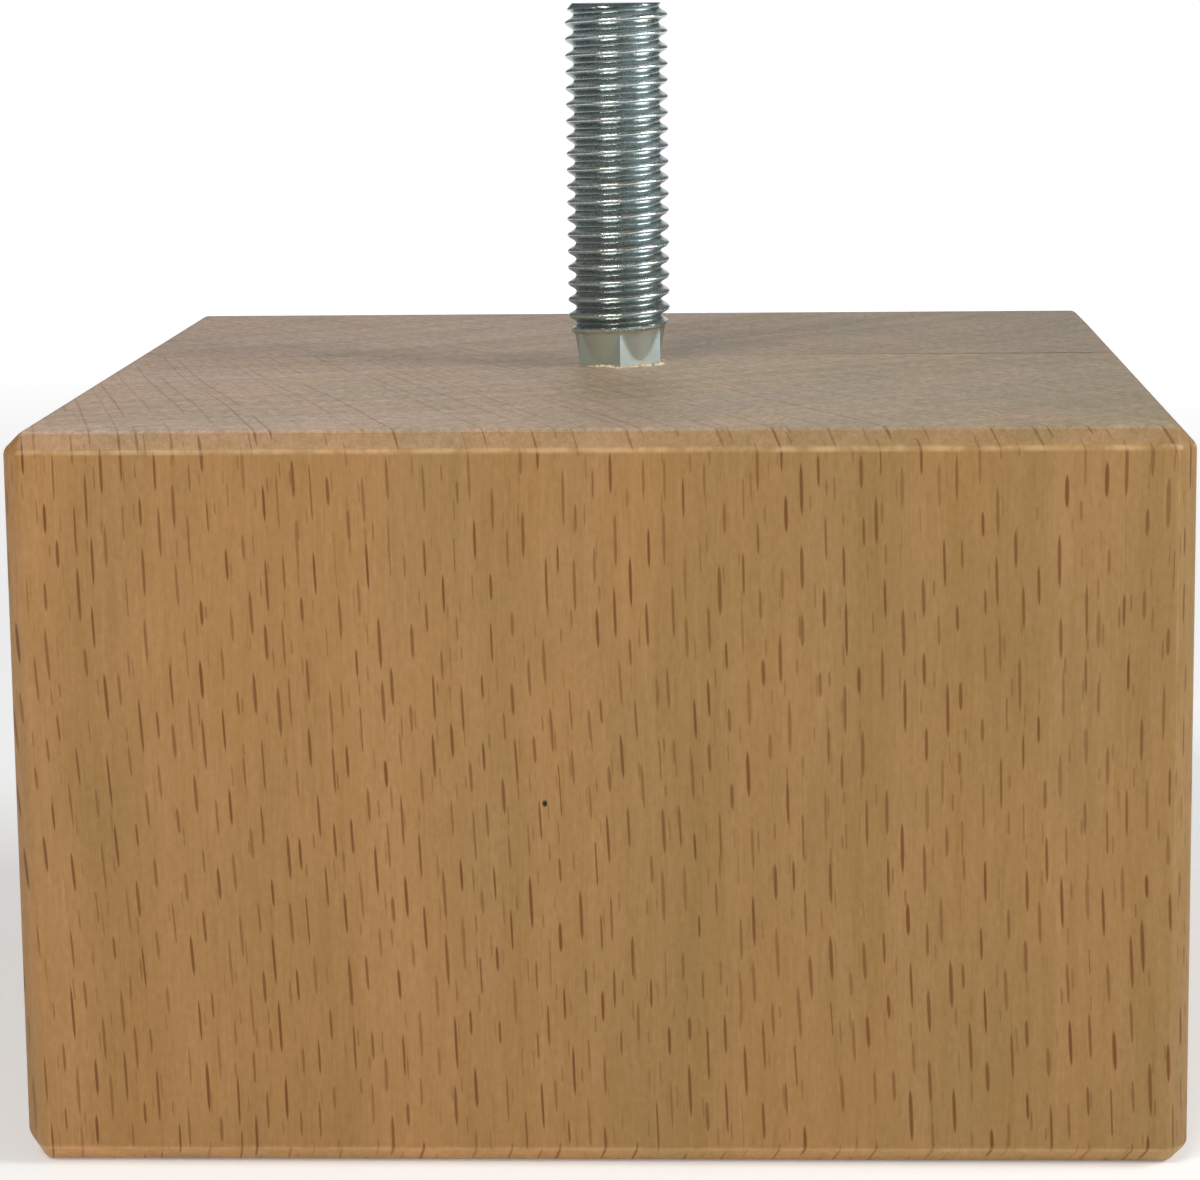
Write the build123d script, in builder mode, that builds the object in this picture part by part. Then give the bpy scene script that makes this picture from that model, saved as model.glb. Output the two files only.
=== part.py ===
from build123d import *
import os

os.makedirs("parts", exist_ok=True)

# Millimetres. Z points up, the front is towards -Y, and the origin lies on the
# floor, in the middle of the underside.

# The block, glued from two beech boards that stand on end
BLOCK_WIDTH = 80.0
BLOCK_HEIGHT = 51.0
FRONT_BOARD_THICKNESS = 45.0
REAR_BOARD_THICKNESS = 35.0
EDGE_CHAMFER = 1.3

# The hanger bolt's stud, drawn plain at the thread's outside diameter
THREAD_DIAMETER = 7.9
THREAD_LENGTH = 25.0
TIP_CHAMFER = 0.7
RUNOUT_CHAMFER = 0.3

# The bolt's collar just above the wood, a hexagon pressed on to a slim cone, with the
# cone showing as a rounded tongue on each of the six flats, and a rim above them
COLLAR_HEIGHT = 2.4
HEX_ACROSS_FLATS = 6.25
HEX_SIDES = 6
HEX_TURN = 33.0
CONE_FOOT_DIAMETER = 6.1
CONE_TOP_DIAMETER = 6.9
RIM_DIAMETER = 7.4
RIM_FLARE_HEIGHT = 0.2
RIM_HEIGHT = 0.35

# The bolt's lower end, screwed into a drilled blind hole that it fills
SHANK_DIAMETER = 6.0
SHANK_LENGTH = 27.0
POINT_LENGTH = 5.0
POINT_TIP_DIAMETER = 0.8
HOLE_SPARE_DEPTH = 2.0
DRILL_POINT_HEIGHT = 1.8

# What follows from these
BLOCK_DEPTH = FRONT_BOARD_THICKNESS + REAR_BOARD_THICKNESS
FRONT_Y = -BLOCK_DEPTH / 2
GLUE_Y = FRONT_Y + FRONT_BOARD_THICKNESS
HOLE_FLOOR_Z = BLOCK_HEIGHT - SHANK_LENGTH - HOLE_SPARE_DEPTH
RIM_Z = BLOCK_HEIGHT + COLLAR_HEIGHT
THREAD_Z = RIM_Z + RIM_HEIGHT
TOP_Z = THREAD_Z + THREAD_LENGTH
HOLE_OUTLINE = [
    (0, BLOCK_HEIGHT),
    (SHANK_DIAMETER / 2, BLOCK_HEIGHT),
    (SHANK_DIAMETER / 2, HOLE_FLOOR_Z),
    (0, HOLE_FLOOR_Z - DRILL_POINT_HEIGHT),
]

with BuildPart() as front_board:
    with BuildSketch(Plane((0, FRONT_Y, 0))):
        Rectangle(BLOCK_WIDTH, FRONT_BOARD_THICKNESS, align=(Align.CENTER, Align.MIN))
    extrude(amount=BLOCK_HEIGHT)
    # The glued face stays sharp so that the boards close up on each other
    glued_face = front_board.faces().sort_by(Axis.Y)[-1]
    chamfer(front_board.edges() - glued_face.edges(), EDGE_CHAMFER)
    # Blind hole for the bolt, with a drill point at its foot
    with BuildSketch(Plane.XZ):
        with BuildLine():
            Polyline(*HOLE_OUTLINE, close=True)
        make_face()
    revolve(axis=Axis.Z, mode=Mode.SUBTRACT)
front_board.part.label = "front_board"
export_step(front_board.part, "parts/front_board.step")

with BuildPart() as rear_board:
    with BuildSketch(Plane((0, GLUE_Y, 0))):
        Rectangle(BLOCK_WIDTH, REAR_BOARD_THICKNESS, align=(Align.CENTER, Align.MIN))
    extrude(amount=BLOCK_HEIGHT)
    glued_face = rear_board.faces().sort_by(Axis.Y)[0]
    chamfer(rear_board.edges() - glued_face.edges(), EDGE_CHAMFER)
    # The glued block is drilled as one, so a thin front board would open the hole here too
    with BuildSketch(Plane.XZ):
        with BuildLine():
            Polyline(*HOLE_OUTLINE, close=True)
        make_face()
    revolve(axis=Axis.Z, mode=Mode.SUBTRACT)
rear_board.part.label = "rear_board"
export_step(rear_board.part, "parts/rear_board.step")

with BuildPart() as hanger_bolt:
    # Six flats, whose corners end under the rim
    with BuildSketch(Plane((0, 0, BLOCK_HEIGHT))):
        RegularPolygon(HEX_ACROSS_FLATS / 2, HEX_SIDES, major_radius=False, rotation=HEX_TURN)
    extrude(amount=COLLAR_HEIGHT)
    # Cone, rim and stud
    with BuildSketch(Plane.XZ):
        with BuildLine():
            Polyline(
                (0, BLOCK_HEIGHT),
                (CONE_FOOT_DIAMETER / 2, BLOCK_HEIGHT),
                (CONE_TOP_DIAMETER / 2, RIM_Z - RIM_FLARE_HEIGHT),
                (RIM_DIAMETER / 2, RIM_Z),
                (RIM_DIAMETER / 2, THREAD_Z),
                (THREAD_DIAMETER / 2, THREAD_Z + RUNOUT_CHAMFER),
                (THREAD_DIAMETER / 2, TOP_Z - TIP_CHAMFER),
                (THREAD_DIAMETER / 2 - TIP_CHAMFER, TOP_Z),
                (0, TOP_Z),
                close=True,
            )
        make_face()
    revolve(axis=Axis.Z)
    # Pointed shank, hidden in the wood
    with BuildSketch(Plane.XZ):
        with BuildLine():
            Polyline(
                (0, BLOCK_HEIGHT),
                (SHANK_DIAMETER / 2, BLOCK_HEIGHT),
                (SHANK_DIAMETER / 2, BLOCK_HEIGHT - SHANK_LENGTH + POINT_LENGTH),
                (POINT_TIP_DIAMETER / 2, BLOCK_HEIGHT - SHANK_LENGTH),
                (0, BLOCK_HEIGHT - SHANK_LENGTH),
                close=True,
            )
        make_face()
    revolve(axis=Axis.Z)
hanger_bolt.part.label = "hanger_bolt"
export_step(hanger_bolt.part, "parts/hanger_bolt.step")
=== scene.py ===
import math
import random

import bmesh
import bpy
from mathutils import Matrix, Vector


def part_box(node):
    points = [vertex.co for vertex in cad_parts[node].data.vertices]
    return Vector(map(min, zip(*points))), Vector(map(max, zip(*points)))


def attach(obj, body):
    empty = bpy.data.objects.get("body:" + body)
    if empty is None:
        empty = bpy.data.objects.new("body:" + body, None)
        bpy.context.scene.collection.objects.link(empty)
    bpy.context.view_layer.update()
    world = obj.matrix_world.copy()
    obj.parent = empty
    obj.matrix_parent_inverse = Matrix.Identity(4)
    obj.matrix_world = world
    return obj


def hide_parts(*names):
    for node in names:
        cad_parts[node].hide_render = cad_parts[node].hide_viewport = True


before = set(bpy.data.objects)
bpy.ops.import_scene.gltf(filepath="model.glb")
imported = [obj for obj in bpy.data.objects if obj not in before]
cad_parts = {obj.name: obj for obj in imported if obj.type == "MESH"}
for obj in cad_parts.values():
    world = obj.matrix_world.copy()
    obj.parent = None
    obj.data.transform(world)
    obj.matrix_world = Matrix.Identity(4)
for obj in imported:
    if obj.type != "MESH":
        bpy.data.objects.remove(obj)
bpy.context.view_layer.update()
scene = bpy.context.scene
MM = 0.001


def box_mm(node):
    """A CAD node's lowest and highest corners, in millimetres."""
    return [[round(v / MM, 3) for v in corner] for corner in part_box(node)]


# The block and the bolt's two ends, from the frame, in millimetres
FRONT_BOX = box_mm("front_board")
BOLT_BOX = box_mm("hanger_bolt")
HALF = FRONT_BOX[1][0]
GLUE_Y = FRONT_BOX[1][1]
TOP = FRONT_BOX[1][2]
SHANK_END = BOLT_BOX[0][2]
STUD_TOP = BOLT_BOX[1][2]

# Sizes that repeat the solids
CHAMFER = 1.3
COLLAR_HEIGHT = 2.4
RIM_HEIGHT = 0.35
RIM_Z = TOP + COLLAR_HEIGHT
THREAD_Z = RIM_Z + RIM_HEIGHT
THREAD_R = 3.95
RIM_R = 3.7
HEX_TURN = math.radians(33.0)
HEX_STEP = math.pi / 3
FLAT_R = 3.125
CONE_FOOT_R = 3.05
CONE_SLOPE = 0.182
SHANK_R = 3.0
POINT_LENGTH = 5.0
POINT_R = 0.4

# Sanding and wear: softened edges, but not at the hole, a taller lower chamfer at the left, a dip at the joint
SANDED = 0.28
HOLE_ZONE = 5.0
WORN_EDGE = 2.0
DIP_START_X = 8.0
DIP_WIDTH = 1.4
DIP_DEPTH = 0.05

# The machine thread: its last crest's height at the left, its start at the back, and how its ends run out
PITCH = 1.25
LAST_CREST_Z = RIM_Z + 0.07
BACK = math.pi / 2
QUARTER = 0.25
RUNOUT_Z = RIM_Z + 0.7
RUNOUT_SLOPE = 0.7
LIP_SLOPE = 1.2
TIP_DROP = 0.55
TIP_SLOPE = 0.8

# Its profile, in millimetres over shares of half a pitch: a round crest, a straight flank and a round root
CREST_END = 0.19
CREST_BEND = 5.6
CREST_DROP = 0.202
FLANK_END = 0.30
FLANK_SLOPE = 2.13
ROOT_BEND = 0.213
ROOT_DROP = 0.65

# The bolt's mesh: points round it and along half a pitch, and plain rings from the wood to the helix
AROUND = 120
HALF_PITCH_STEPS = [0.0, 0.05, 0.10, 0.15, CREST_END, 0.25, FLANK_END, 0.35, 0.40, 0.45]
SHANK_TOP = TOP - 0.02
HELIX_Z = TOP + 5.0
RINGS = 100

# How close two places are that count as the same, in metres
SAME = 1e-5


def lin(red, green, blue):
    """A colour written as 0 to 255 screen values, as the linear values that shaders take."""
    out = []
    for v in (red / 255, green / 255, blue / 255):
        out.append(v / 12.92 if v <= 0.04045 else ((v + 0.055) / 1.055) ** 2.4)
    return (*out, 1.0)


class Graph:
    """The nodes of a material or a world, with short calls for the ones used here."""

    def __init__(self, owner, output="ShaderNodeOutputMaterial"):
        self.owner = owner
        owner.use_nodes = True
        self.tree = owner.node_tree
        self.tree.nodes.clear()
        self.out = self.add(output)

    def put(self, socket, value):
        if isinstance(value, bpy.types.NodeSocket):
            self.tree.links.new(value, socket)
        else:
            socket.default_value = value

    def add(self, kind, **props):
        node = self.tree.nodes.new(kind)
        for key, value in props.items():
            setattr(node, key, value)
        return node

    def show(self, shader):
        self.put(self.out.inputs["Surface"], shader.outputs[0])
        return self.owner

    def place(self):
        return self.add("ShaderNodeTexCoord").outputs["Object"]

    def math(self, op, a, b=None):
        node = self.add("ShaderNodeMath", operation=op)
        self.put(node.inputs[0], a)
        if b is not None:
            self.put(node.inputs[1], b)
        return node.outputs[0]

    def plus(self, a, b):
        return self.math("ADD", a, b)

    def minus(self, a, b):
        return self.math("SUBTRACT", a, b)

    def times(self, a, b):
        return self.math("MULTIPLY", a, b)

    def over(self, a, b):
        return self.math("DIVIDE", a, b)

    def size(self, a):
        return self.math("ABSOLUTE", a)

    def least(self, a, b):
        return self.math("MINIMUM", a, b)

    def most(self, a, b):
        return self.math("MAXIMUM", a, b)

    def fit(self, value, low, high, to_low=0.0, to_high=1.0, kind="SMOOTHSTEP"):
        node = self.add("ShaderNodeMapRange", interpolation_type=kind)
        for socket, v in zip(node.inputs, (value, low, high, to_low, to_high)):
            self.put(socket, v)
        return node.outputs[0]

    def line(self, value, low, high, to_low, to_high):
        return self.fit(value, low, high, to_low, to_high, "LINEAR")

    def vector(self, x, y, z):
        node = self.add("ShaderNodeCombineXYZ")
        for socket, v in zip(node.inputs, (x, y, z)):
            self.put(socket, v)
        return node.outputs[0]

    def split(self, v):
        node = self.add("ShaderNodeSeparateXYZ")
        self.put(node.inputs[0], v)
        return node.outputs[0], node.outputs[1], node.outputs[2]

    def noise(self, v, scale, detail, rough=0.5):
        node = self.add("ShaderNodeTexNoise", noise_dimensions="3D")
        self.put(node.inputs["Vector"], v)
        node.inputs["Scale"].default_value = scale
        node.inputs["Detail"].default_value = detail
        node.inputs["Roughness"].default_value = rough
        return node.outputs["Fac"]

    def chance(self, x, y, z):
        """Three values from 0 to 1 that are fixed for each place but seem drawn at random."""
        node = self.add("ShaderNodeTexWhiteNoise", noise_dimensions="3D")
        self.put(node.inputs["Vector"], self.vector(x, y, z))
        return self.split(node.outputs["Color"])

    def mix(self, fac, a, b, blend="MIX"):
        node = self.add("ShaderNodeMix", data_type="RGBA", blend_type=blend)
        self.put(node.inputs[0], fac)
        self.put(node.inputs[6], a)
        self.put(node.inputs[7], b)
        return node.outputs[2]

    def tint(self, color, red, green, blue):
        return self.mix(1.0, color, self.vector(red, green, blue), "MULTIPLY")

    def bump(self, height, strength, distance):
        node = self.add("ShaderNodeBump")
        self.put(node.inputs["Height"], height)
        node.inputs["Strength"].default_value = strength
        node.inputs["Distance"].default_value = distance
        return node.outputs["Normal"]

    def seen(self):
        """1 for what is seen, also mirrored or through something clear, and 0 for light on a surface."""
        path = self.add("ShaderNodeLightPath")
        seen = self.most(path.outputs["Is Camera Ray"], path.outputs["Is Glossy Ray"])
        return self.most(seen, path.outputs["Is Transmission Ray"])

    def finish(self, color, rough, normal, **constants):
        node = self.add("ShaderNodeBsdfPrincipled")
        self.put(node.inputs["Base Color"], color)
        self.put(node.inputs["Roughness"], rough)
        self.put(node.inputs["Normal"], normal)
        for key, value in constants.items():
            node.inputs[key.replace("_", " ")].default_value = value
        return self.show(node)


def rays(g, t, z, r, wide, tall, deep, half, short, long, share, seed):
    """How strongly each point is in a beech ray. The rays are spindles along z that reach inwards along r.

    Each cell, wide by tall by deep, has room for one ray. From its middle a ray measures half to its edge and
    short to long to its tip, and share says how many cells have one. All lengths are in millimetres.
    """
    i = g.math("FLOOR", g.over(t, wide))
    in_t = g.minus(g.over(t, wide), i)
    first = g.chance(i, seed, 0.5)
    up = g.plus(g.over(z, tall), g.plus(g.times(i, 0.618), g.times(first[0], 0.4)))
    j = g.math("FLOOR", up)
    in_z = g.minus(up, j)
    second = g.chance(i, j, seed + 0.37)
    inwards = g.plus(g.over(r, deep), g.times(second[0], 7.0))
    k = g.math("FLOOR", inwards)
    in_r = g.minus(inwards, k)
    one = g.chance(g.plus(i, seed), j, k)
    two = g.chance(i, g.plus(j, seed + 11.0), k)
    centre_t = g.line(one[0], 0.0, 1.0, 0.25, 0.75)
    centre_z = g.line(one[1], 0.0, 1.0, 0.38, 0.62)
    half_z = g.line(one[2], 0.0, 1.0, short / tall, long / tall)
    half_t = g.line(two[0], 0.0, 1.0, 0.75 * half / wide, 1.25 * half / wide)
    dz = g.over(g.minus(in_z, centre_z), half_z)
    dr = g.over(g.minus(in_r, 0.5), 0.48)
    lens = g.minus(1.0, g.math("POWER", g.size(dz), 4.0))
    reach = g.times(g.minus(1.0, g.times(dr, dr)), 3.0)
    across = g.over(g.size(g.minus(in_t, centre_t)), half_t)
    inside = g.fit(g.minus(g.least(lens, reach), across), -0.05, 0.6)
    there = g.fit(two[1], 1.0 - share, 1.0 - share + 0.01)
    depth = g.line(two[2], 0.0, 1.0, 0.45, 1.0)
    return g.times(g.times(inside, there), depth)


def beech(name, pith, radius, seed, warm, olive, painted_sheen_gain, knot=None):
    """Beech as a solid that the board's faces cut: rays, rings and fibres about the pith."""
    g = Graph(bpy.data.materials.new(name))
    in_mm = g.add("ShaderNodeVectorMath", operation="SCALE")
    g.put(in_mm.inputs[0], g.place())
    in_mm.inputs["Scale"].default_value = 1.0 / MM
    x, y, z = g.split(in_mm.outputs[0])

    def grain(across, along, detail=2.0, rough=0.5):
        """Noise with that many cells to the millimetre across the wood's grain and along it."""
        place = g.vector(g.times(x, across), g.times(y, across), g.times(z, along))
        return g.noise(place, 1.0, detail, rough)

    # Places about the pith: r outwards, t round it at the given radius, both swaying a little
    sway = grain(0.025, 0.02, 1.0)
    dx = g.minus(x, pith[0])
    dy = g.minus(y, pith[1])
    r = g.math("SQRT", g.plus(g.times(dx, dx), g.times(dy, dy)))
    angle = g.math("ARCTAN2", dy, dx)
    lean = g.times(z, g.minus(0.030, g.times(x, 0.0006)))
    t = g.plus(g.plus(g.times(angle, radius), lean), g.times(sway, 2.5))
    ring_r = g.plus(r, g.times(sway, 4.0))

    # Where the face is end grain, and how squarely it cuts the rays
    normal = g.split(g.add("ShaderNodeNewGeometry").outputs["True Normal"])
    end = g.most(g.fit(normal[2], 0.56, 0.96), g.fit(normal[2], -0.78, -0.96))
    square = g.over(g.plus(g.times(dx, normal[0]), g.times(dy, normal[1])), r)
    square = g.fit(g.size(square), 0.1, 0.6, 0.6, 1.0)

    # Colour: warm to olive with soft bands, rings, fine fibres and cells
    drift = grain(0.10, 0.035)
    base = g.mix(g.fit(g.plus(g.times(x, 0.006), g.times(drift, 1.6)), 0.35, 1.25), warm, olive)
    ring = g.noise(g.vector(g.times(ring_r, 0.42), seed, g.times(z, 0.006)), 1.0, 2.0, 0.6)
    fibre = grain(5.5, 0.32, 3.0, 0.6)
    cells = grain(2.6, 1.3, 3.0, 0.6)
    streak = grain(1.3, 0.10, 2.0, 0.6)
    fine = g.times(g.line(fibre, 0.25, 0.75, 0.93, 1.07), g.line(cells, 0.25, 0.75, 0.90, 1.10))
    tone = g.times(g.fit(ring, 0.3, 0.72, 0.92, 1.08), fine)
    tone = g.times(tone, g.line(streak, 0.25, 0.75, 0.93, 1.07))
    base = g.tint(base, tone, tone, g.times(tone, tone))

    # Rays, weaker on the end grain and where the face runs along them
    large = rays(g, t, z, r, wide=1.06, tall=4.8, deep=36.0, half=0.118, short=0.90, long=2.1, share=0.98,
                 seed=seed)
    small = rays(g, t, z, r, wide=0.80, tall=3.1, deep=24.0, half=0.075, short=0.5, long=1.0, share=0.45,
                 seed=seed + 4.0)
    mark = g.most(large, g.times(small, 0.55))
    mark = g.times(mark, g.plus(g.times(g.times(square, 0.97), g.minus(1.0, end)), g.times(end, 0.52)))
    base = g.mix(mark, base, lin(106, 62, 22))

    # End grain is darker in its own colour, with fine open pores, and carries a painted sheen of reflected light
    pore = grain(7.0, 1.0, 2.0, 0.7)
    mottle = g.noise(g.vector(g.times(x, 1.6), g.times(y, 0.8), g.times(ring_r, 0.9)), 1.0, 3.0, 0.65)
    end_grain_and_sheen = g.times(g.line(pore, 0.3, 0.7, 0.60, 0.94), g.line(mottle, 0.3, 0.7, 0.80, 1.20))
    # Painted sheen: the end grain is lifted overall, more at the left and at the front edge
    end_grain_and_sheen = g.times(end_grain_and_sheen, g.line(x, -HALF, HALF, 1.18 * painted_sheen_gain, 0.91 * painted_sheen_gain))
    end_grain_and_sheen = g.times(end_grain_and_sheen, g.fit(y, -HALF, -0.6 * HALF, 1.08, 1.0))
    # Painted sheen: green and most of all blue are raised, greying the end grain as reflected white light would
    blue = g.line(x, -HALF, HALF, 2.8, 2.45)
    base = g.mix(end, base, g.tint(base, end_grain_and_sheen, g.times(end_grain_and_sheen, 1.33), g.times(end_grain_and_sheen, blue)))

    # The glue line
    seam = g.fit(g.size(g.minus(y, GLUE_Y)), 0.03, 0.11, 0.40, 0.0)
    base = g.mix(seam, base, lin(100, 76, 48))

    # Painted highlight: paler lines along the chamfers' edges, stronger higher up, as light caught by the
    # rounded edges
    side = g.most(g.size(x), g.size(y))
    lesser = g.least(g.size(x), g.size(y))
    upright = g.plus(g.size(g.minus(lesser, HALF - CHAMFER)), g.fit(x, -HALF, HALF, 0.26, 0.19))
    level = g.size(g.minus(g.size(g.minus(z, TOP / 2)), TOP / 2 - CHAMFER))
    level = g.plus(level, g.fit(side, HALF - 0.5, HALF - 0.2, 1.0, 0.0))
    painted_edge_highlight = g.fit(grain(0.5, 0.5, 3.0, 0.6), 0.35, 0.65, 0.10, 0.48)
    painted_edge_highlight = g.times(painted_edge_highlight, g.fit(z, 0.25 * TOP, 0.75 * TOP, 0.3, 1.0))
    painted_edge_highlight = g.times(painted_edge_highlight, g.fit(g.least(level, upright), 0.05, 0.30, 1.0, 0.0))
    base = g.mix(g.times(painted_edge_highlight, g.minus(1.0, end)), base, lin(212, 177, 128))

    # Painted light: the lower chamfer and the underside are made lighter, standing in for light bounced up from
    # below
    painted_underlight = g.fit(z, 0.9 * CHAMFER, 1.1 * CHAMFER, 1.48, 1.0)
    base = g.tint(base, painted_underlight, painted_underlight, painted_underlight)

    # A pin knot, a little taller than wide
    if knot:
        away = g.add("ShaderNodeVectorMath", operation="DISTANCE")
        g.put(away.inputs[0], g.vector(g.plus(x, g.times(drift, 0.3)), y, g.times(z, 0.8)))
        away.inputs[1].default_value = (knot[0] + 0.15, knot[1], knot[2] * 0.8)
        base = g.mix(g.fit(away.outputs["Value"], 0.10, 0.24, 1.0, 0.0), base, lin(34, 20, 12))

    height = g.minus(g.times(fibre, g.line(end, 0.0, 1.0, 1.0, 0.2)), g.times(large, 0.5))
    height = g.plus(height, g.times(g.times(pore, end), 0.8))
    rough = g.line(g.plus(fibre, g.times(end, 0.6)), 0.3, 1.3, 0.38, 0.62)
    return g.finish(base, rough, g.bump(height, 0.25, 0.06 * MM), Specular_IOR_Level=0.26)


def zinc(name):
    """Bright zinc plating: cloudy colour, uneven gloss and a slightly lumpy skin, duller on the collar, whose
    colour carries painted light.
    """
    g = Graph(bpy.data.materials.new(name))
    place = g.place()
    cloud = g.noise(place, 900.0, 2.0)
    grain = g.noise(place, 2600.0, 3.0, 0.6)
    speck = g.noise(place, 7000.0, 2.0, 0.6)
    x, y, z = g.split(place)
    above = g.fit(z, (RIM_Z - 0.1) * MM, (THREAD_Z + 0.1) * MM, 0.12, 1.0)
    color = g.mix(g.fit(cloud, 0.3, 0.7), lin(198, 207, 203), lin(208, 218, 221))
    # Painted light on the collar: its colour is lighter and greener at the left and darker at the right
    collar_painted_light = g.mix(g.fit(x, -2.4 * MM, 2.4 * MM), lin(219, 235, 226), lin(199, 208, 201))
    color = g.mix(g.fit(above, 0.12, 1.0, 0.8, 0.0), color, collar_painted_light)
    color = g.mix(g.times(g.fit(speck, 0.62, 0.78, 0.0, 0.35), above), color, lin(150, 150, 140))

    # Painted shade: the thread's grooves are darkened with a grey tone
    out = g.math("SQRT", g.plus(g.times(x, x), g.times(y, y)))
    groove_painted_shade = g.line(out, 3.25 * MM, 3.85 * MM, 1.0, 0.0)
    groove_painted_shade = g.times(groove_painted_shade, g.fit(z, (THREAD_Z - 0.1) * MM, (THREAD_Z + 0.2) * MM))
    color = g.mix(g.times(groove_painted_shade, 0.8), color, lin(112, 122, 118))

    uneven = g.fit(g.plus(g.times(cloud, 0.5), g.times(speck, 0.5)), 0.3, 0.7, 0.0, 0.18)
    uneven = g.times(uneven, g.line(above, 0.12, 1.0, 0.5, 1.0))
    rough = g.plus(g.line(above, 0.12, 1.0, 0.37, 0.16), uneven)
    height = g.times(g.plus(grain, g.times(speck, 0.25)), above)
    return g.finish(color, rough, g.bump(height, 0.22, 0.12 * MM), Metallic=1.0)


def shavings(name):
    """Pale torn beech fibres."""
    g = Graph(bpy.data.materials.new(name))
    place = g.place()
    patch = g.noise(place, 1500.0, 2.0)
    strand = g.noise(place, 9000.0, 2.0)
    color = g.mix(g.fit(patch, 0.3, 0.7), lin(205, 184, 146), lin(228, 214, 182))
    rough = g.fit(strand, 0.3, 0.7, 0.6, 0.85)
    return g.finish(color, rough, g.bump(strand, 0.4, 0.05 * MM))


def white(name):
    """Floor: pale, showing as the white background further off, and keeping the shadow round the object."""
    g = Graph(bpy.data.materials.new(name))
    place = g.place()
    off = g.add("ShaderNodeVectorMath", operation="LENGTH")
    g.put(off.inputs[0], place)
    haze = g.fit(off.outputs["Value"], 0.1, 0.75, 0.20, 0.80)
    tone = g.line(g.noise(place, 3.0, 2.0), 0.0, 1.0, 0.87, 0.89)
    paint = g.add("ShaderNodeBsdfDiffuse")
    g.put(paint.inputs["Color"], g.vector(tone, tone, tone))
    glow = g.add("ShaderNodeEmission")
    g.put(glow.inputs["Strength"], g.times(g.seen(), haze))
    both = g.add("ShaderNodeAddShader")
    g.put(both.inputs[0], paint.outputs[0])
    g.put(both.inputs[1], glow.outputs[0])
    return g.show(both)


def room(name):
    """The dim room on the photographer's side, with a lighter wall at the right."""
    g = Graph(bpy.data.materials.new(name))
    place = g.place()
    x, y, z = g.split(place)
    turn = g.math("ARCTAN2", x, g.times(y, -1.0))
    wall = g.times(g.fit(turn, 0.30, 0.50), g.fit(turn, 1.5, 1.95, 1.0, 0.0))
    wall = g.times(wall, g.fit(z, 0.35, 0.75, 0.75, 0.0))
    tone = g.plus(g.fit(g.noise(place, 4.0, 2.0), 0.3, 0.7, 0.12, 0.21), wall)
    glow = g.add("ShaderNodeEmission")
    g.put(glow.inputs["Color"], g.vector(g.times(tone, 0.87), tone, g.times(tone, 1.08)))
    return g.show(glow)


def solid(name, bm, material):
    """An object in the scene from a bmesh in metres."""
    mesh = bpy.data.meshes.new(name)
    bm.to_mesh(mesh)
    bm.free()
    mesh.materials.append(material)
    obj = bpy.data.objects.new(name, mesh)
    scene.collection.objects.link(obj)
    return obj


def piece(name, bm, material, node=None, sharp=30.0):
    """A finished piece of the foot, riding on the root, with edges over sharp degrees kept crisp."""
    bmesh.ops.recalc_face_normals(bm, faces=bm.faces)
    obj = solid(name, bm, material)
    obj.data.shade_smooth()
    obj.data.set_sharp_from_angle(angle=math.radians(sharp))
    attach(obj, "root")
    if node:
        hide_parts(node)
    return obj


def cut(bm, place, normal):
    """Adds edges to a bmesh where a plane crosses it, and leaves its parts in an order that each run repeats."""
    whole = list(bm.verts) + list(bm.edges) + list(bm.faces)
    bmesh.ops.bisect_plane(bm, geom=whole, dist=1e-6, plane_co=place, plane_no=normal)
    slanted = Vector((1.0, 0.37, 0.0713))
    bm.verts.sort(key=lambda v: v.co.dot(slanted))
    bm.edges.sort(key=lambda e: (e.verts[0].co + e.verts[1].co).dot(slanted))
    bm.faces.sort(key=lambda f: f.calc_center_median().dot(slanted))


def board(name, node, material, dips=False):
    """A board from its solid, with softened chamfers, and an edge at the joint that sinks if it dips."""
    bm = bmesh.new()
    bm.from_mesh(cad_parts[node].data)
    bmesh.ops.remove_doubles(bm, verts=bm.verts, dist=1e-6)
    bmesh.ops.dissolve_limit(bm, angle_limit=math.radians(1.0), verts=bm.verts, edges=bm.edges)
    for v in bm.verts:
        if abs(v.co.x + HALF * MM) < SAME and abs(v.co.z - CHAMFER * MM) < SAME:
            v.co.z = WORN_EDGE * MM
    soft = []
    for e in bm.edges:
        if len(e.link_faces) != 2:
            continue
        middle = (e.verts[0].co + e.verts[1].co) / 2
        at_joint = all(abs(v.co.y - GLUE_Y * MM) < SAME for v in e.verts)
        at_hole = math.hypot(middle.x, middle.y) < HOLE_ZONE * MM
        turn = math.degrees(e.calc_face_angle(0.0))
        if 20.0 < turn < 80.0 and not at_joint and not at_hole:
            soft.append(e)
    bmesh.ops.bevel(bm, geom=soft, offset=SANDED * MM, offset_type="OFFSET", segments=3, profile=0.5,
                    affect="EDGES", clamp_overlap=True)
    if dips:
        cut(bm, (0, (GLUE_Y - DIP_WIDTH) * MM, 0), (0, 1, 0))
        cut(bm, (DIP_START_X * MM, 0, 0), (1, 0, 0))
        for v in bm.verts:
            if abs(v.co.z - TOP * MM) < SAME and abs(v.co.y - GLUE_Y * MM) < SAME:
                share = max(0.0, v.co.x / MM - DIP_START_X) / (HALF - DIP_START_X)
                v.co.z -= DIP_DEPTH * share * MM
    obj = piece(name, bm, material, node)
    for face in obj.data.polygons:
        if abs(face.normal.z) > 0.999:
            face.use_smooth = False
    return obj


def ease(x):
    """0 below 0, 1 above 1, and smooth between."""
    x = min(max(x, 0.0), 1.0)
    return x * x * (3.0 - 2.0 * x)


def rim_r(z):
    """Radius of the rim, and above it of the cone that the thread grows out of."""
    return RIM_R + max(0.0, z - RUNOUT_Z) * RUNOUT_SLOPE


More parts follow.
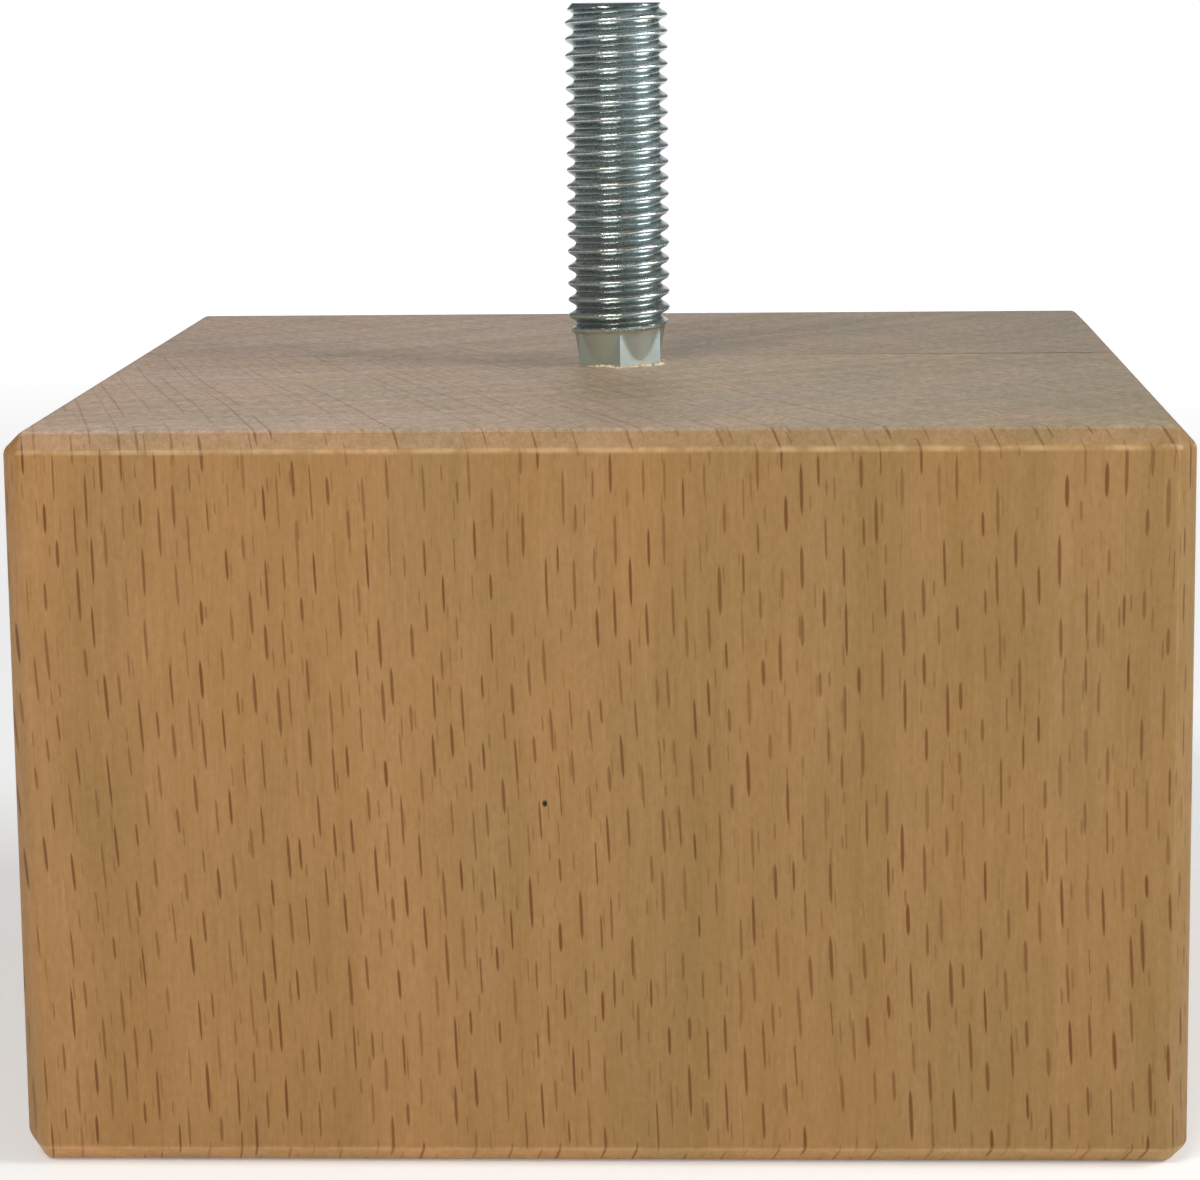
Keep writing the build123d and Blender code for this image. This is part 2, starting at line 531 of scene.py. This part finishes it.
def thread_r(angle, z):
    """Radius of the machine thread: a right-hand helix with round crests and roots, cut back at both ends."""
    turn = (z - LAST_CREST_Z) / PITCH - (angle - math.pi) / math.tau
    u = abs((turn + 0.5) % 1.0 - 0.5)
    if u < CREST_END:
        drop = CREST_BEND * u * u
    elif u < FLANK_END:
        drop = CREST_DROP + (u - CREST_END) * FLANK_SLOPE
    else:
        drop = ROOT_DROP - ROOT_BEND * ((0.5 - u) / (0.5 - FLANK_END)) ** 2
    tip = THREAD_R - TIP_DROP + (STUD_TOP - z) * TIP_SLOPE
    return min(THREAD_R - drop, tip, rim_r(z))


def collar_r(angle, z):
    """Radius of the collar: six flats, with the cone standing out of their middles, most at the top."""
    a = (angle - HEX_TURN) % HEX_STEP - HEX_STEP / 2
    return max(FLAT_R / math.cos(a), CONE_FOOT_R + CONE_SLOPE * (z - TOP))


def stud_r(angle, z):
    """Radius from the wood up: the collar, its rim along the thread's last crest, and the thread above it."""
    way = (angle - BACK) % math.tau / math.tau
    above = (z - LAST_CREST_Z) / PITCH + QUARTER - way
    if above >= 1.0:
        return thread_r(angle, z)
    collar = collar_r(angle, z)
    grown = ease(way / QUARTER)
    if above >= 0.0:
        shut = max(collar, rim_r(z) - LIP_SLOPE * (1.0 - above) * PITCH)
        return shut + (thread_r(angle, z) - shut) * grown
    lip = max(collar, rim_r(z) + LIP_SLOPE * above * PITCH)
    return collar + (lip - collar) * grown


def bolt(name, material):
    """The hanger bolt as one skin: point, shank, pressed hexagon, rim and helical thread."""
    angles = [HEX_TURN + math.tau * k / AROUND for k in range(AROUND)]
    bm = bmesh.new()

    def vert(r, a, z):
        return bm.verts.new((r * math.cos(a) * MM, r * math.sin(a) * MM, z * MM))

    def ring(radius, z):
        return [vert(radius, a, z) for a in angles]

    def close(low, high):
        for k in range(AROUND):
            n = (k + 1) % AROUND
            bm.faces.new((low[k], low[n], high[n], high[k]))

    rows = [ring(POINT_R, SHANK_END), ring(SHANK_R, SHANK_END + POINT_LENGTH), ring(SHANK_R, SHANK_TOP)]
    bm.faces.new(list(reversed(rows[0])))
    for k in range(RINGS + 1):
        z = TOP + (HELIX_Z - TOP) * k / RINGS
        rows.append([vert(stud_r(a, z), a, z) for a in angles])
    for low, high in zip(rows, rows[1:]):
        close(low, high)

    # Thread: each column has the same steps along the pitch, moved up with the helix and held inside the ends
    steps = HALF_PITCH_STEPS + [0.5] + [1.0 - u for u in reversed(HALF_PITCH_STEPS[1:])]
    turns = int((STUD_TOP - LAST_CREST_Z) / PITCH) + 2
    grid = []
    for a in angles:
        start = LAST_CREST_Z + (a - math.pi) / math.tau * PITCH
        column = []
        for n in range(turns * len(steps)):
            z = start + (n // len(steps) + steps[n % len(steps)]) * PITCH
            z = min(max(z, HELIX_Z), STUD_TOP)
            column.append(vert(thread_r(a, z), a, z))
        grid.append(column)
    for left, right in zip(grid, grid[1:] + [grid[0][len(steps):]]):
        for n in range(len(right) - 1):
            bm.faces.new((left[n], right[n], right[n + 1], left[n + 1]))
    close(rows[-1], [c[0] for c in grid])
    bmesh.ops.remove_doubles(bm, verts=bm.verts, dist=2e-7)
    bmesh.ops.dissolve_degenerate(bm, edges=bm.edges, dist=1e-7)
    bmesh.ops.holes_fill(bm, edges=[e for e in bm.edges if len(e.link_faces) == 1], sides=0)
    return piece(name, bm, material, "hanger_bolt", 42.0)


def fibres(name, material):
    """Torn wood fibres that the bolt pushed up round the edge of its hole, most of them at the front."""
    rng = random.Random(7)
    bm = bmesh.new()
    for k in range(44):
        a = rng.gauss(-math.pi / 2 + 0.35, 0.6) if k < 32 else rng.uniform(-math.pi, math.pi)
        r = collar_r(a, TOP) + rng.uniform(0.02, 0.4)
        long = rng.uniform(0.3, 0.95)
        wide = rng.uniform(0.06, 0.14)
        rise = rng.uniform(0.04, 0.26)
        turn = a + math.pi / 2 + rng.uniform(-0.7, 0.7)
        along = Vector((math.cos(turn), math.sin(turn), 0.0)) * long
        side = Vector((-math.sin(turn), math.cos(turn), 0.0)) * wide
        base = Vector((r * math.cos(a), r * math.sin(a), TOP - 0.03))
        lift = Vector((math.cos(a) * rng.uniform(-0.02, 0.12), math.sin(a) * rng.uniform(-0.02, 0.12), rise))
        foot = [
            base - along * 0.5 - side * 0.4,
            base - along * 0.3 + side,
            base + along * 0.3 + side * 0.8,
            base + along * 0.5 - side * 0.3,
            base - side,
        ]
        tip = [base + lift - along * 0.2, base + lift * 0.8 + along * 0.25]
        low = [bm.verts.new(p * MM) for p in foot]
        high = [bm.verts.new(p * MM) for p in tip]
        bm.faces.new((low[0], low[1], high[0]))
        bm.faces.new((low[1], low[2], high[1], high[0]))
        bm.faces.new((low[2], low[3], high[1]))
        bm.faces.new((low[3], low[4], high[1]))
        bm.faces.new((low[4], low[0], high[0], high[1]))
        bm.faces.new(list(reversed(low)))
    return piece(name, bm, material, None, 20.0)


def floor():
    """A wide floor just under the foot."""
    bm = bmesh.new()
    bmesh.ops.create_grid(bm, x_segments=8, y_segments=8, size=12.0)
    obj = solid("floor", bm, white("white_floor"))
    obj.location.z = -0.05 * MM


def dim_room(radius=1.1, rows=10, row_step=9.5, columns=31, first=104.0, column_step=11.07):
    """Part of a large dome in front and overhead, seen only in reflections, for the metal's dark parts."""
    bm = bmesh.new()
    grid = []
    for k in range(rows):
        up = math.radians(k * row_step)
        turns = [math.radians(first + n * column_step) for n in range(columns)]
        ring = [Vector((math.cos(a) * math.cos(up), math.sin(a) * math.cos(up), math.sin(up))) for a in turns]
        grid.append([bm.verts.new(radius * p) for p in ring])
    for low, high in zip(grid, grid[1:]):
        for c in range(columns - 1):
            bm.faces.new((low[c], low[c + 1], high[c + 1], high[c]))
    obj = solid("dim_room", bm, room("dim_room"))
    obj.visible_camera = False
    obj.visible_diffuse = False
    obj.visible_shadow = False


def lamp(name, place, target, size, watts, color=(1.0, 1.0, 1.0)):
    """A soft rectangular lamp that faces its target."""
    light = bpy.data.lights.new(name, "AREA")
    light.shape = "RECTANGLE"
    light.size, light.size_y = size
    light.energy = watts
    light.color = color
    obj = bpy.data.objects.new(name, light)
    obj.location = place
    obj.rotation_euler = (Vector(target) - Vector(place)).to_track_quat("-Z", "Y").to_euler()
    scene.collection.objects.link(obj)
    return obj


def sky(strength):
    """An even world of that strength on the foot, which shows as white."""
    g = Graph(bpy.data.worlds.new("studio"), "ShaderNodeOutputWorld")
    shades = []
    for value in (strength, 1.0):
        shade = g.add("ShaderNodeBackground")
        shade.inputs["Color"].default_value = (1.0, 1.0, 1.0, 1.0)
        shade.inputs["Strength"].default_value = value
        shades.append(shade)
    blend = g.add("ShaderNodeMixShader")
    g.put(blend.inputs[0], g.seen())
    g.put(blend.inputs[1], shades[0].outputs[0])
    g.put(blend.inputs[2], shades[1].outputs[0])
    return g.show(blend)


def photo_camera():
    """The camera at the photograph's viewpoint, as fitted to the block's edges."""
    data = bpy.data.cameras.new("camera")
    data.sensor_fit = "HORIZONTAL"
    data.sensor_width = 36.0
    data.lens = 102.448
    data.shift_x = -0.0333
    data.shift_y = -0.075
    data.clip_start = 0.01
    data.clip_end = 100.0
    obj = bpy.data.objects.new("camera", data)
    scene.collection.objects.link(obj)
    level = Matrix.Rotation(math.pi / 2, 4, "X")
    pan = Matrix.Rotation(0.03573, 4, "Z")
    tilt = Matrix.Rotation(-0.15411, 4, "X")
    roll = Matrix.Rotation(0.00446, 4, "Y")
    obj.matrix_world = Matrix.Translation((0.0112233, -0.2645628, 0.0811811)) @ roll @ tilt @ pan @ level
    return obj


front = beech("beech_front", pith=(-83.0, 162.0), radius=210.0, seed=3.0, warm=lin(159, 118, 70),
              olive=lin(146, 114, 68), painted_sheen_gain=1.49, knot=(-3.7, -HALF, 25.6))
rear = beech("beech_rear", pith=(-143.0, 183.0), radius=215.0, seed=29.0, warm=lin(158, 118, 71),
             olive=lin(146, 114, 69), painted_sheen_gain=1.34)
board("front_board_grain", "front_board", front, dips=True)
board("rear_board_grain", "rear_board", rear)
bolt("threaded_bolt", zinc("bright_zinc"))
fibres("torn_fibres", shavings("torn_beech"))

scene.camera = photo_camera()
floor()
dim_room()

# A cool window at the right, two warm lamps over the camera's left, and a low fill that leaves no highlight
BLOCK = (0.0, 0.0, 0.05)
WARM = (1.0, 0.985, 0.96)
lamp("window", (0.75, -0.14, 0.50), BLOCK, size=(0.42, 0.42), watts=4.8, color=(0.96, 0.985, 1.0))
lamp("lamp_left", (-0.33, -0.50, 0.60), BLOCK, size=(0.16, 0.16), watts=1.3, color=WARM)
lamp("lamp_right", (-0.14, -0.58, 0.60), BLOCK, size=(0.20, 0.16), watts=1.25, color=WARM)
low_fill = lamp("low_fill", (0.0, -0.75, 0.10), (0.0, 0.0, 0.02), size=(0.9, 0.16), watts=1.5)
low_fill.visible_glossy = False

scene.world = sky(0.29)
scene.view_settings.view_transform = "Standard"
